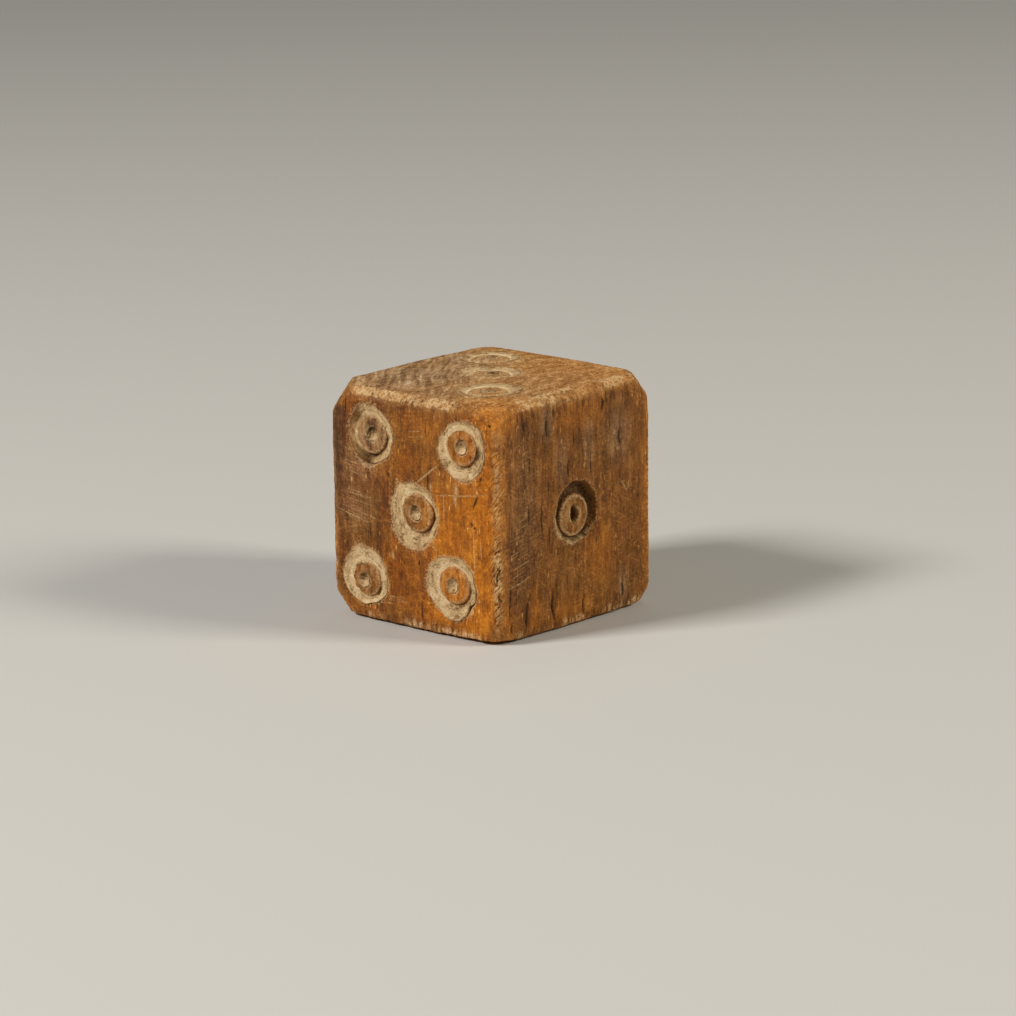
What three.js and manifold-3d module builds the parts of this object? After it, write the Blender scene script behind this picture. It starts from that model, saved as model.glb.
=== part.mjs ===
// An old hand-cut die: one worn block of close-grained wood with ring-and-dot pips.
// Each pip is a ring groove around a small round island, with a dot drilled in the
// island, and the grooves and dots are packed with pale earth.
//
// Millimetres, +Z up. The five faces -Y, the one +X, the three +Z, and opposite faces
// add up to seven. The origin is the middle of the footprint, on the surface below.

import * as THREE from 'three';
import { mergeVertices } from 'three/addons/utils/BufferGeometryUtils.js';
import Module from 'manifold-3d';

// Block
const WIDTH = 15.6; // from the six to the one
const DEPTH = 16.05; // from the five to the two
const HEIGHT = 16.2; // from the four to the three

// Pips: the islands were all left by one hollow bit, and the grooves widened by hand
const ISLAND_RADIUS = 1.38;
const RING_DEPTH = 0.5;
const RING_FLOOR_INSET = 0.3; // how far the outer wall leans in from mouth to floor
const DOT_RADIUS = 0.46;
const DOT_DEPTH = 0.6;
const DOT_TAPER = 0.7; // floor radius over mouth radius
const RING_SIDES = 24;
const DOT_SIDES = 12;

// Earth packed in the pips
const FILL_GAP = 0.05; // kept clear of the wood all round
const RING_FILL_RECESS = 0.12; // below the face
const DOT_FILL_RECESS = 0.2;

// The one lost most of its packing: its dot is open, and a crescent is left in its ring
const OPEN_DOT_DEPTH = 1.1;
const CRESCENT_RECESS = 0.25;
const CRESCENT_TURN = THREE.MathUtils.degToRad(225); // from the pip's right, anticlockwise
const CRESCENT_START = 0.9; // distance from the pip's centre where the crescent begins

const REACH = 60; // a cutter larger than the die
const MOUTH = 0.4; // how far a pip's cutter stands out of the face

const WOOD = new THREE.MeshStandardMaterial({ color: 0x95602f, roughness: 0.55, metalness: 0 });
const EARTH = new THREE.MeshStandardMaterial({ color: 0xb7a688, roughness: 0.95, metalness: 0 });

// Each face's own axes, seen from outside: right, up, out
const FACES = {
  one: { right: [0, 1, 0], up: [0, 0, 1], out: [1, 0, 0] },
  two: { right: [-1, 0, 0], up: [0, 0, 1], out: [0, 1, 0] },
  three: { right: [1, 0, 0], up: [0, 1, 0], out: [0, 0, 1] },
  four: { right: [1, 0, 0], up: [0, -1, 0], out: [0, 0, -1] },
  five: { right: [1, 0, 0], up: [0, 0, 1], out: [0, -1, 0] },
  six: { right: [0, -1, 0], up: [0, 0, 1], out: [-1, 0, 0] },
};

// Pips of each face: island centre right and up from the face's centre, then the groove's
// own centre right and up from the island's, and the groove's mouth radius
const PIPS = {
  one: [[-0.3, -0.45, 0.1, 0.22, 2.2]],
  two: [
    [-3.8, 4.2, 0.12, -0.2, 2.15],
    [3.7, -4.3, -0.15, 0.1, 2.2],
  ],
  three: [
    [3.2, -3.7, 0.1, 0.1, 2.2],
    [-0.3, 0.4, -0.1, 0.15, 2.1],
    [-3.9, 4.4, 0.1, -0.1, 2.1],
  ],
  four: [
    [-3.9, 4.0, 0.1, -0.25, 2.2],
    [4.0, 4.1, -0.2, 0, 2.15],
    [-3.8, -4.1, 0.15, 0.15, 2.15],
    [3.9, -3.9, 0, 0.25, 2.2],
  ],
  five: [
    [-3.66, 4.86, -0.03, 0.02, 2.17],
    [4.46, 5.15, 0.2, -0.25, 2.15],
    [0.44, 0.08, -0.17, -0.3, 2.25],
    [-4.4, -5.25, 0.08, 0.22, 2.12],
    [3.65, -4.4, -0.05, -0.2, 2.25],
  ],
  six: [
    [-3.7, 5.0, 0.1, -0.1, 2.15],
    [-3.6, 0.1, -0.1, 0.15, 2.15],
    [-3.8, -4.9, 0.15, 0.1, 2.1],
    [3.7, 4.9, -0.15, -0.1, 2.15],
    [3.8, -0.1, -0.1, 0.15, 2.1],
    [3.6, -5.0, 0.15, 0.2, 2.1],
  ],
};

// Bevels worn and filed on the edges: two faces, then how wide the bevel is on each
const BEVELS = [
  ['five', 'one', 0.55, 0.85],
  ['five', 'six', 0.9, 0.65],
  ['two', 'one', 0.9, 0.55],
  ['two', 'six', 0.6, 0.6],
  ['three', 'five', 0.7, 0.75],
  ['three', 'one', 0.6, 0.7],
  ['three', 'two', 0.3, 0.5],
  ['three', 'six', 0.55, 0.8],
  ['four', 'five', 0.2, 0.2],
  ['four', 'one', 0.2, 0.35],
  ['four', 'two', 0.4, 0.4],
  ['four', 'six', 0.4, 0.4],
];

// Corners cut off: the corner's side in X, Y and Z, then the cut's reach along each edge
const CORNERS = [
  [1, -1, 1, 2.4, 2.3, 2.0],
  [-1, -1, 1, 2.9, 2.9, 2.9],
  [1, 1, 1, 2.5, 2.1, 2.4],
  [-1, 1, 1, 1.6, 1.6, 1.0],
  [1, -1, -1, 1.4, 2.1, 2.0],
  [-1, -1, -1, 2.3, 2.0, 2.5],
  [1, 1, -1, 1.5, 2.0, 1.9],
  [-1, 1, -1, 1.4, 1.4, 1.2],
];

const wasm = await Module();
wasm.setup();

function toSolid(geometry) {
  geometry.deleteAttribute('normal');
  geometry.deleteAttribute('uv');
  const merged = mergeVertices(geometry);
  return new wasm.Manifold(new wasm.Mesh({
    numProp: 3,
    vertProperties: merged.attributes.position.array,
    triVerts: merged.index.array,
  }));
}

function toGeometry(solid) {
  const mesh = solid.getMesh();
  const geometry = new THREE.BufferGeometry();
  geometry.setAttribute('position', new THREE.BufferAttribute(mesh.vertProperties, 3));
  geometry.setIndex(new THREE.BufferAttribute(mesh.triVerts, 1));
  geometry.computeVertexNormals();
  return geometry;
}

// The half-extent of the block along a face's outward direction
function halfExtent(out) {
  return new THREE.Vector3(WIDTH, DEPTH, HEIGHT).dot(new THREE.Vector3(...out.map(Math.abs))) / 2;
}

// A group at the centre of a face, with +X to its right, +Y up it and +Z out of it
function faceGroup(name) {
  const { right, up, out } = FACES[name];
  const group = new THREE.Group();
  const axes = [right, up, out].map((axis) => new THREE.Vector3(...axis));
  group.quaternion.setFromRotationMatrix(new THREE.Matrix4().makeBasis(...axes));
  group.position.copy(axes[2]).multiplyScalar(halfExtent(out));
  group.position.z += HEIGHT / 2;
  group.updateMatrix();
  return group;
}

// A big box that removes everything beyond a plane through three points
function beyondPlane(points) {
  const plane = new THREE.Plane().setFromCoplanarPoints(...points);
  const centre = new THREE.Vector3(0, 0, HEIGHT / 2);
  if (plane.distanceToPoint(centre) > 0) plane.negate();
  const box = new THREE.BoxGeometry(REACH, REACH, REACH);
  box.translate(0, 0, REACH / 2);
  box.applyQuaternion(new THREE.Quaternion().setFromUnitVectors(new THREE.Vector3(0, 0, 1), plane.normal));
  box.translate(...plane.coplanarPoint(new THREE.Vector3()).toArray());
  return toSolid(box);
}

function bevelCutter([faceA, faceB, widthOnA, widthOnB]) {
  const outA = new THREE.Vector3(...FACES[faceA].out);
  const outB = new THREE.Vector3(...FACES[faceB].out);
  const edge = new THREE.Vector3(0, 0, HEIGHT / 2)
    .addScaledVector(outA, halfExtent(FACES[faceA].out))
    .addScaledVector(outB, halfExtent(FACES[faceB].out));
  const onA = edge.clone().addScaledVector(outB, -widthOnA);
  const onB = edge.clone().addScaledVector(outA, -widthOnB);
  const along = onB.clone().add(new THREE.Vector3().crossVectors(outA, outB));
  return beyondPlane([onA, onB, along]);
}

function cornerCutter([sideX, sideY, sideZ, alongX, alongY, alongZ]) {
  const corner = [sideX * WIDTH / 2, sideY * DEPTH / 2, HEIGHT / 2 + sideZ * HEIGHT / 2];
  const points = [[sideX * alongX, 0, 0], [0, sideY * alongY, 0], [0, 0, sideZ * alongZ]];
  return beyondPlane(points.map((step) => new THREE.Vector3(...corner).sub(new THREE.Vector3(...step))));
}

// A round plug along +Z, from its floor to its mouth
function plug(mouthRadius, floorRadius, floor, mouth, sides, x = 0, y = 0) {
  const geometry = new THREE.CylinderGeometry(mouthRadius, floorRadius, mouth - floor, sides);
  geometry.rotateX(Math.PI / 2);
  geometry.translate(x, y, (mouth + floor) / 2);
  return geometry;
}

// The solid between a ring groove's walls, drawn in by a margin, from its floor to a level
function ringSolid([, , shiftX, shiftY, radius], margin, level) {
  const lean = RING_FLOOR_INSET / RING_DEPTH;
  const floor = -RING_DEPTH + margin;
  const outer = plug(
    radius - margin + lean * level, radius - margin + lean * floor, floor, level,
    RING_SIDES, shiftX, shiftY,
  );
  const island = plug(
    ISLAND_RADIUS + margin, ISLAND_RADIUS + margin, -2 * RING_DEPTH, 2 * RING_DEPTH, RING_SIDES,
  );
  return toSolid(outer).subtract(toSolid(island));
}

// The solid of a dot's hole, drawn in by a margin, from its floor to a level
function dotSolid(depth, margin, level) {
  const mouthRadius = DOT_RADIUS - margin;
  return toSolid(plug(mouthRadius, mouthRadius * DOT_TAPER, -depth + margin, level, DOT_SIDES));
}

// The crescent of packing left low on one side of the one's ring
function crescentSolid(pip) {
  const keep = new THREE.BoxGeometry(REACH, REACH, REACH);
  keep.translate(CRESCENT_START + REACH / 2, 0, 0);
  keep.rotateZ(CRESCENT_TURN);
  return ringSolid(pip, FILL_GAP, -CRESCENT_RECESS).intersect(toSolid(keep));
}

function addFill(group, name, solid, [x, y]) {
  const fill = new THREE.Mesh(toGeometry(solid), EARTH);
  fill.name = name;
  fill.position.set(x, y, 0);
  group.add(fill);
}

function addFills(group, face) {
  PIPS[face].forEach((pip, index) => {
    const number = index + 1;
    if (face === 'one') {
      addFill(group, 'one_ring_fill_1', crescentSolid(pip), pip);
      return;
    }
    addFill(group, `${face}_ring_fill_${number}`, ringSolid(pip, FILL_GAP, -RING_FILL_RECESS), pip);
    addFill(group, `${face}_dot_fill_${number}`, dotSolid(DOT_DEPTH, FILL_GAP, -DOT_FILL_RECESS), pip);
  });
}

// Everything that is cut out of one face's wood for its pips
function pipCutters(group, face) {
  return PIPS[face].flatMap((pip) => {
    const depth = face === 'one' ? OPEN_DOT_DEPTH : DOT_DEPTH;
    const place = group.matrix.clone().multiply(new THREE.Matrix4().makeTranslation(pip[0], pip[1], 0));
    return [ringSolid(pip, 0, MOUTH), dotSolid(depth, 0, MOUTH)]
      .map((cutter) => cutter.transform(place.elements));
  });
}

function makeBody(groups) {
  const block = new THREE.BoxGeometry(WIDTH, DEPTH, HEIGHT);
  block.translate(0, 0, HEIGHT / 2);
  const cutters = [
    ...BEVELS.map(bevelCutter),
    ...CORNERS.map(cornerCutter),
    ...Object.keys(FACES).flatMap((face) => pipCutters(groups[face], face)),
  ];
  const solid = cutters.reduce((body, cutter) => body.subtract(cutter), toSolid(block));
  const body = new THREE.Mesh(toGeometry(solid), WOOD);
  body.name = 'die_body';
  return body;
}

const die = new THREE.Group();
const groups = Object.fromEntries(Object.keys(FACES).map((face) => [face, faceGroup(face)]));
die.add(makeBody(groups));
Object.entries(groups).forEach(([face, group]) => {
  addFills(group, face);
  die.add(group);
});

export default die;
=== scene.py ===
import math

import bpy
import numpy as np
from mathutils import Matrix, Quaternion, Vector, noise
from mathutils.geometry import delaunay_2d_cdt


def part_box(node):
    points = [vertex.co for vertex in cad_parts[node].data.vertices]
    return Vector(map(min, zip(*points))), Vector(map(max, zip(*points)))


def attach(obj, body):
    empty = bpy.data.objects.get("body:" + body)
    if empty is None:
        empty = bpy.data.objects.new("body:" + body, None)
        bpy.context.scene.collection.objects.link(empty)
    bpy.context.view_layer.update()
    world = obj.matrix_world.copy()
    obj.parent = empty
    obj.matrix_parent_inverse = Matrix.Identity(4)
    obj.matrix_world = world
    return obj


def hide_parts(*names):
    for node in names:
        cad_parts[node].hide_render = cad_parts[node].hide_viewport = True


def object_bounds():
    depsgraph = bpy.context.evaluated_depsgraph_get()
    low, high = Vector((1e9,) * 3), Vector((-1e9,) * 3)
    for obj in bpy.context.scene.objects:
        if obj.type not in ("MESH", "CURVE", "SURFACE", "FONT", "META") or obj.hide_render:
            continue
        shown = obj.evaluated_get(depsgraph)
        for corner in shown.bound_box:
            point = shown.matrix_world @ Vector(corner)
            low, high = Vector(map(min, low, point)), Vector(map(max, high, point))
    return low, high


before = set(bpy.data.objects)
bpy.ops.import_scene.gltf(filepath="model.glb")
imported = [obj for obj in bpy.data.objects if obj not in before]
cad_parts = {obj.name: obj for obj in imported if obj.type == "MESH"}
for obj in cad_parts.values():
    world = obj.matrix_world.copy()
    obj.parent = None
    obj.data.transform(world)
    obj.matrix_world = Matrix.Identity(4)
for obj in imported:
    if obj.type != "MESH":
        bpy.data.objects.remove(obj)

cad_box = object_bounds()

# The view: a long lens a short arm's length away, turned 42 degrees from the five towards
# the one and looking slightly down, so that three faces show and the top is a thin strip.
MM = 0.001
VIEW_TURN = math.radians(42.0)
VIEW_RISE = math.radians(13.4)
VIEW_ROLL = math.radians(-0.7)
VIEW_DISTANCE = 312 * MM
AIM_RIGHT = 1.13 * MM  # the lens looks a little to the right of the die's centre
AIM_UP = -1.17 * MM


def way_out(turn, rise):
    """The way out from the die, turned round from the five towards the one and raised."""
    flat = math.cos(rise)
    return Vector((math.sin(turn) * flat, -math.cos(turn) * flat, math.sin(rise)))


view_back = way_out(VIEW_TURN, VIEW_RISE)
view_right = Vector((math.cos(VIEW_TURN), math.sin(VIEW_TURN), 0))
view_up = view_back.cross(view_right)
die_middle = (cad_box[0] + cad_box[1]) / 2
camera = bpy.data.objects.new("camera", bpy.data.cameras.new("camera"))
camera.data.sensor_width = 36
camera.data.lens = 162.5
camera.data.clip_start = 10 * MM
camera.location = die_middle + view_back * VIEW_DISTANCE
view_line = die_middle + view_right * AIM_RIGHT + view_up * AIM_UP - camera.location
camera.rotation_mode = "QUATERNION"
camera.rotation_quaternion = view_line.to_track_quat("-Z", "Y") @ Quaternion((0, 0, 1), VIEW_ROLL)
bpy.context.scene.collection.objects.link(camera)
bpy.context.scene.camera = camera

# The block: one cube of close-grained hardwood with its grain upright, sawn and whittled
# square, its edges filed to bevels and its corners cut, then worn and stained by handling.
# All sizes in this section are in millimetres from the block's centre.
block_low, block_high = (np.array(corner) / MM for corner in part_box("die_body"))
HALF = (block_high - block_low) / 2
MIDDLE = (block_high + block_low) / 2

# Each face's own right, up and out, as seen from outside
FACES = {
    "one": ((0, 1, 0), (0, 0, 1), (1, 0, 0)),
    "two": ((-1, 0, 0), (0, 0, 1), (0, 1, 0)),
    "three": ((1, 0, 0), (0, 1, 0), (0, 0, 1)),
    "four": ((1, 0, 0), (0, -1, 0), (0, 0, -1)),
    "five": ((1, 0, 0), (0, 0, 1), (0, -1, 0)),
    "six": ((0, -1, 0), (0, 0, 1), (-1, 0, 0)),
}
FACES = {name: tuple(np.array(axis, float) for axis in axes) for name, axes in FACES.items()}

# Bevels filed on the edges: two faces, then how wide the bevel is on each of them
BEVELS = [
    ("five", "one", 0.55, 0.85),
    ("five", "six", 0.9, 0.65),
    ("two", "one", 0.9, 0.55),
    ("two", "six", 0.6, 0.6),
    ("three", "five", 0.7, 0.75),
    ("three", "one", 0.6, 0.7),
    ("three", "two", 0.3, 0.5),
    ("three", "six", 0.55, 0.8),
    ("four", "five", 0.2, 0.2),
    ("four", "one", 0.2, 0.35),
    ("four", "two", 0.4, 0.4),
    ("four", "six", 0.4, 0.4),
]

# Corners cut off: the corner's side in X, Y and Z, then the cut's reach along each edge
CORNERS = [
    ((1, -1, 1), (2.4, 2.3, 2.0)),
    ((-1, -1, 1), (2.9, 2.9, 2.9)),
    ((1, 1, 1), (2.5, 2.1, 2.4)),
    ((-1, 1, 1), (1.6, 1.6, 1.0)),
    ((1, -1, -1), (1.4, 2.1, 2.0)),
    ((-1, -1, -1), (2.3, 2.0, 2.5)),
    ((1, 1, -1), (1.5, 2.0, 1.9)),
    ((-1, 1, -1), (1.4, 1.4, 1.2)),
]


def plane_through(a, b, c):
    """The outward normal of a plane, and how far the plane is from the block's centre."""
    normal = np.cross(b - a, c - a)
    normal /= np.linalg.norm(normal)
    distance = normal @ a
    return normal * np.sign(distance), abs(distance)


def bevel_plane(face_a, face_b, on_a, on_b):
    out_a, out_b = FACES[face_a][2], FACES[face_b][2]
    edge = (out_a + out_b) * HALF
    along = np.cross(out_a, out_b)
    return plane_through(edge - out_b * on_a, edge - out_a * on_b, edge - out_a * on_b + along)


def corner_plane(sides, reach):
    corner = np.array(sides) * HALF
    steps = np.diag(np.array(sides) * np.array(reach))
    return plane_through(*(corner - step for step in steps))


face_planes = [(axes[2], abs(axes[2]) @ HALF) for axes in FACES.values()]
bevel_planes = [bevel_plane(*bevel) for bevel in BEVELS]
corner_planes = [corner_plane(*corner) for corner in CORNERS]
normals, distances = zip(*(face_planes + bevel_planes + corner_planes))
normals, distances = np.array(normals), np.array(distances)

WEAR_ROUNDING = 0.075  # how softly the planes run into each other
FACE_CROWN = 0.1  # how much lower a face is near its edges than at its middle
CORE_DEPTH = 2.6  # how far below the faces the lines that meet the surface start
WEAR_STEPS = 14  # enough for the lines' ends to settle on the surface


def wear(start, way):
    """Where lines from inside the block meet its worn surface, that surface's outward
    direction there, and each plane's share in it."""
    is_face = np.arange(len(normals)) < len(FACES)
    reach = np.full(len(start), 3.0 * CORE_DEPTH)
    for _ in range(WEAR_STEPS):
        place = start + way * reach[:, None]
        across = (place ** 2).sum(1)[:, None] - (place @ normals.T) ** 2
        crown = np.where(is_face, FACE_CROWN / HALF[0] ** 2, 0) * across
        gap = (place @ normals.T - distances + crown) / WEAR_ROUNDING
        peak = gap.max(1)
        share = np.exp(gap - peak[:, None])
        total = share.sum(1)
        share /= total[:, None]
        level = WEAR_ROUNDING * (peak + np.log(total))
        outward = share @ normals
        reach -= level / (outward * way).sum(1)
    return place, outward / np.linalg.norm(outward, axis=1)[:, None], share


def noise_at(places, size, seed=0.0):
    """Smooth noise from about -1 to 1 whose lumps are about this many millimetres across."""
    shift = Vector((seed, seed, seed))
    return np.array([noise.noise(Vector(place / size) + shift) for place in places])


# The pips: a ring groove was cut round a small island, and a dot drilled in the island.
# One hollow bit left all the islands. The grooves were widened by hand, so each is its own
# shape and off centre.
ISLAND_RADIUS = 1.38
ONE_ISLAND_RADIUS = 1.45
RING_DEPTH = 0.5
DOT_RADIUS = 0.46
DOT_DEPTH = 0.6
FILL_GAP = 0.05
MOUTH_INSET = 0.06  # how much narrower a groove is than its widest outline
FOOT_SPLAY = 0.06  # how much wider an island is at its foot
PIP_SPOKES = 56

# The one's own pip is wider and deeper, its dot is tall and narrow, and its groove leans
ONE_ISLAND = (-0.3, -0.45)
ONE_GROOVE = (-0.2, -0.23)
ONE_GROOVE_RADIUS = 2.2
ONE_DOT_DEPTH = 1.2
ONE_DOT_SHAPE = np.array([0.76, 1.3])
ONE_LEAN = 0.4
ONE_LEAN_TO = math.radians(50)

# Where a knife ran on past a groove: face, number, direction in degrees, reach, spread
KNIFE_SLIPS = [
    ("five", 1, -97, 0.3, 20), ("five", 3, 122, 0.14, 7), ("five", 3, 60, 0.16, 8),
    ("five", 5, 168, 0.12, 30), ("two", 1, 40, 0.2, 14), ("three", 2, 75, 0.2, 15),
    ("four", 3, -80, 0.25, 18), ("six", 2, 20, 0.2, 12), ("six", 5, 200, 0.2, 16),
]

# How far each dot was drilled from the middle of its island, where that shows
DOT_SHIFTS = {
    ("five", 1): (0.12, 0.0), ("five", 2): (0.07, -0.08), ("five", 3): (-0.08, -0.1),
    ("five", 4): (-0.1, -0.14), ("five", 5): (-0.07, -0.08), ("one", 1): (0.05, 0.05),
}


def place_on_face(face, corners):
    """The middle of a box in metres, as right and up on a face."""
    middle = np.array((corners[0] + corners[1]) / 2) / MM - MIDDLE
    return np.array([FACES[face][0] @ middle, FACES[face][1] @ middle])


def find_pips():
    """Each pip's place on its face from the frame, with the chances of its cutting by hand."""
    found = []
    chance = np.random.default_rng(7)
    for face in FACES:
        count = sum(name.startswith(face + "_ring_fill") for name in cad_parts)
        for number in range(1, count + 1):
            if face == "one":
                island, groove = np.array(ONE_ISLAND), np.array(ONE_GROOVE)
                radius = ONE_GROOVE_RADIUS
            else:
                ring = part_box(f"{face}_ring_fill_{number}")
                island = place_on_face(face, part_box(f"{face}_dot_fill_{number}"))
                groove = place_on_face(face, ring)
                radius = max(ring[1] - ring[0]) / MM / 2 + FILL_GAP
            found.append({
                "face": face,
                "number": number,
                "island": island,
                "groove": groove,
                "radius": radius,
                "island_radius": ONE_ISLAND_RADIUS if face == "one" else ISLAND_RADIUS,
                "dot": island + DOT_SHIFTS.get((face, number), chance.uniform(-0.1, 0.1, 2)),
                "lobes": [
                    (n, chance.uniform(0.1, 0.4) / (n + 8), chance.uniform(0, math.tau))
                    for n in (2, 3, 5, 9, 13)],
                "slips": [slip[2:] for slip in KNIFE_SLIPS if slip[:2] == (face, number)],
                "lean": chance.uniform(0.1, 0.25),
                "lean_to": chance.uniform(0, math.tau),
                "seed": chance.uniform(0, 90),
            })
    return found


pips = find_pips()
for pip in pips:
    if pip["face"] == "one":
        pip.update(lean=ONE_LEAN, lean_to=ONE_LEAN_TO)


def spoke(angle):
    return np.stack([np.cos(angle), np.sin(angle)], -1)


def bump_at(angle, direction, spread):
    """A bump round a circle: 1 in a direction in degrees, fading over this spread."""
    off = (angle - math.radians(direction) + math.pi) % math.tau - math.pi
    return np.exp(-(off / math.radians(spread)) ** 2)


def mouth_radius(pip, angle):
    """How far a groove's outer edge is from its middle, slips of the knife and all."""
    radius = 1 + sum(size * np.cos(n * angle - turn) for n, size, turn in pip["lobes"])
    radius = radius * (pip["radius"] - MOUTH_INSET)
    for direction, reach, spread in pip["slips"]:
        radius = radius + reach * bump_at(angle, direction, spread)
    return radius


def groove_place(pip, across, angle):
    """A point of the groove, from the island's foot (across 0) to the mouth (across 1), or
    millimetres inside the island where across is negative."""
    foot = pip["island"] + (pip["island_radius"] + FOOT_SPLAY) * spoke(angle)
    mouth = pip["groove"] + mouth_radius(pip, angle)[..., None] * spoke(angle)
    return foot + (mouth - foot) * np.maximum(across, 0) + spoke(angle) * np.minimum(across, 0)


def groove_floor(pip, angle):
    return RING_DEPTH * (1 + pip["lean"] * np.cos(angle - pip["lean_to"]))


# The groove's cross-section: share of the way across, share of the floor's depth
GROOVE_SECTION = [
    (0, 1.0), (0.12, 1.02), (0.28, 1.02), (0.44, 1.0), (0.58, 0.92), (0.7, 0.78),
    (0.8, 0.58), (0.88, 0.36), (0.94, 0.17), (1.0, 0.04),
]
# The island's worn shoulder and its wall: distance from its nominal radius, depth
ISLAND_WALL = [
    (-0.55, 0.02), (-0.36, 0.03), (-0.2, 0.05), (-0.09, 0.09), (-0.02, 0.15), (0.03, 0.26),
    (0.05, 0.38),
]
# The dot: share of its radius, share of its depth
DOT_SECTION = [
    (0.3, 1.0), (0.6, 0.97), (0.8, 0.85), (0.92, 0.55), (1.02, 0.24), (1.16, 0.09), (1.34, 0.03),
]
ISLAND_TOP = 0.025  # how far wear lowered the islands' tops


def pip_points(pip):
    """Points on a face that follow a pip's walls, with their depth and how much painted shade darkens
    them.
    """
    angle = np.arange(PIP_SPOKES) / PIP_SPOKES * math.tau
    ray = spoke(angle)
    is_one = pip["face"] == "one"
    dot_depth = ONE_DOT_DEPTH if is_one else DOT_DEPTH
    dot_ray = ray * DOT_RADIUS * (ONE_DOT_SHAPE if is_one else 1.0)
    dot_ray *= 1 + 0.07 * np.cos(2 * angle + pip["seed"])[:, None]
    # Painted shade: each ring gets more dark brown the deeper it lies, in the dot, on the island's
    # wall and down in the groove
    rings = [(np.tile(pip["dot"], (1, 1)), dot_depth, 1.0)]
    for share, deep in DOT_SECTION:
        hollow = min(1.0, deep * 1.6) if deep > 0.1 else 0.0
        rings.append((pip["dot"] + dot_ray * share, dot_depth * deep, hollow))
    lip = pip["dot"] + dot_ray * DOT_SECTION[-1][0]
    edge = pip["island"] + (pip["island_radius"] + ISLAND_WALL[0][0]) * ray
    for share in (0.25, 0.5, 0.75):
        rings.append((lip + (edge - lip) * share, ISLAND_TOP, 0.0))
    for step, deep in ISLAND_WALL:
        hollow = max(0.0, (deep - 0.14) / 0.3)
        rings.append((pip["island"] + (pip["island_radius"] + step) * ray, deep, hollow))
    floor = groove_floor(pip, angle)
    for across, deep in GROOVE_SECTION:
        hollow = min(1.0, max(0.0, (deep - 0.3) * 1.8))
        rings.append((groove_place(pip, across, angle), floor * deep, hollow))
    # Rows of flat wood just outside, where dust is rubbed in
    for beyond in (0.06, 0.14, 0.22):
        outside = (mouth_radius(pip, angle) + beyond)[:, None] * ray
        rings.append((pip["groove"] + outside, 0.0, 0.0))
    places, depths, hollows = zip(*rings)
    depths = [np.broadcast_to(deep, len(place)) for place, deep in zip(places, depths)]
    hollows = [np.full(len(place), hollow) for place, hollow in zip(places, hollows)]
    return np.concatenate(places), np.concatenate(depths), np.concatenate(hollows)


def mouth_distance(pip, places):
    """How far points on a face are outside a pip's groove, in millimetres."""
    step = places - pip["groove"]
    return np.hypot(*step.T) - mouth_radius(pip, np.arctan2(step[:, 1], step[:, 0]))


# Each face's drying cracks along the grain and small gouges: half width, depth, then points
# right and up
CRACKS = {
    "one": [
        (0.12, 0.35, [(-4.85, -4.9), (-5, -5.7), (-5.2, -6.8), (-5.15, -7.5)]),
        (0.1, 0.25, [(-2.6, -5.2), (-2.65, -6.2), (-2.4, -7.5)]),
        (0.07, 0.15, [(-3.55, 1.2), (-3.7, 0.1), (-3.6, -1.6)]),
        (0.12, 0.2, [(-2.95, 6.9), (-3.05, 6.2), (-2.95, 5.2)]),
        (0.07, 0.15, [(0.55, -6.1), (0.5, -7), (0.6, -7.7)]),
        (0.08, 0.12, [(4.4, 4.9), (4.3, 4.2), (4.5, 3.4)]),
        (0.06, 0.1, [(-0.9, 3.6), (-1, 2.9), (-0.9, 2.2)]),
        (0.1, 0.15, [(2.6, 7.3), (2.7, 6.8), (2.6, 6.2)]),
        (0.07, 0.12, [(-6.6, -6.7), (-6.7, -7.2), (-6.6, -7.6)]),
        (0.09, 0.15, [(4.6, -5.9), (4.7, -6.7), (4.6, -7.3)]),
    ],
    "five": [
        (0.09, 0.05, [(5.95, 2.2), (5.8, 1.6), (5.6, 1)]),
        (0.09, 0.05, [(5.3, 0.15), (5.6, -0.2), (5.9, -0.3)]),
        (0.07, 0.04, [(6.3, 3.4), (6.25, 3)]), (0.07, 0.08, [(0.7, -3.1), (0.62, -3.6)]),
        (0.06, 0.05, [(-2.1, 2.5), (-1.95, 2.1)]), (0.12, 0.12, [(7.05, 7.1), (7.15, 6.8)]),
    ],
    "two": [
        (0.1, 0.3, [(2.1, 7.4), (2.2, 5.4), (2, 3.4)]),
        (0.08, 0.2, [(-5.6, -2.4), (-5.5, -4.6), (-5.7, -6.9)]),
        (0.06, 0.15, [(0.6, -0.4), (0.7, -1.6), (0.6, -2.6)]),
    ],
    "six": [
        (0.09, 0.25, [(0.2, -4.8), (0.1, -6.2), (0.25, -7.6)]),
        (0.08, 0.2, [(6.1, 2.4), (6.2, 0.4), (6.1, -1.4)]),
    ],
}

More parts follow.
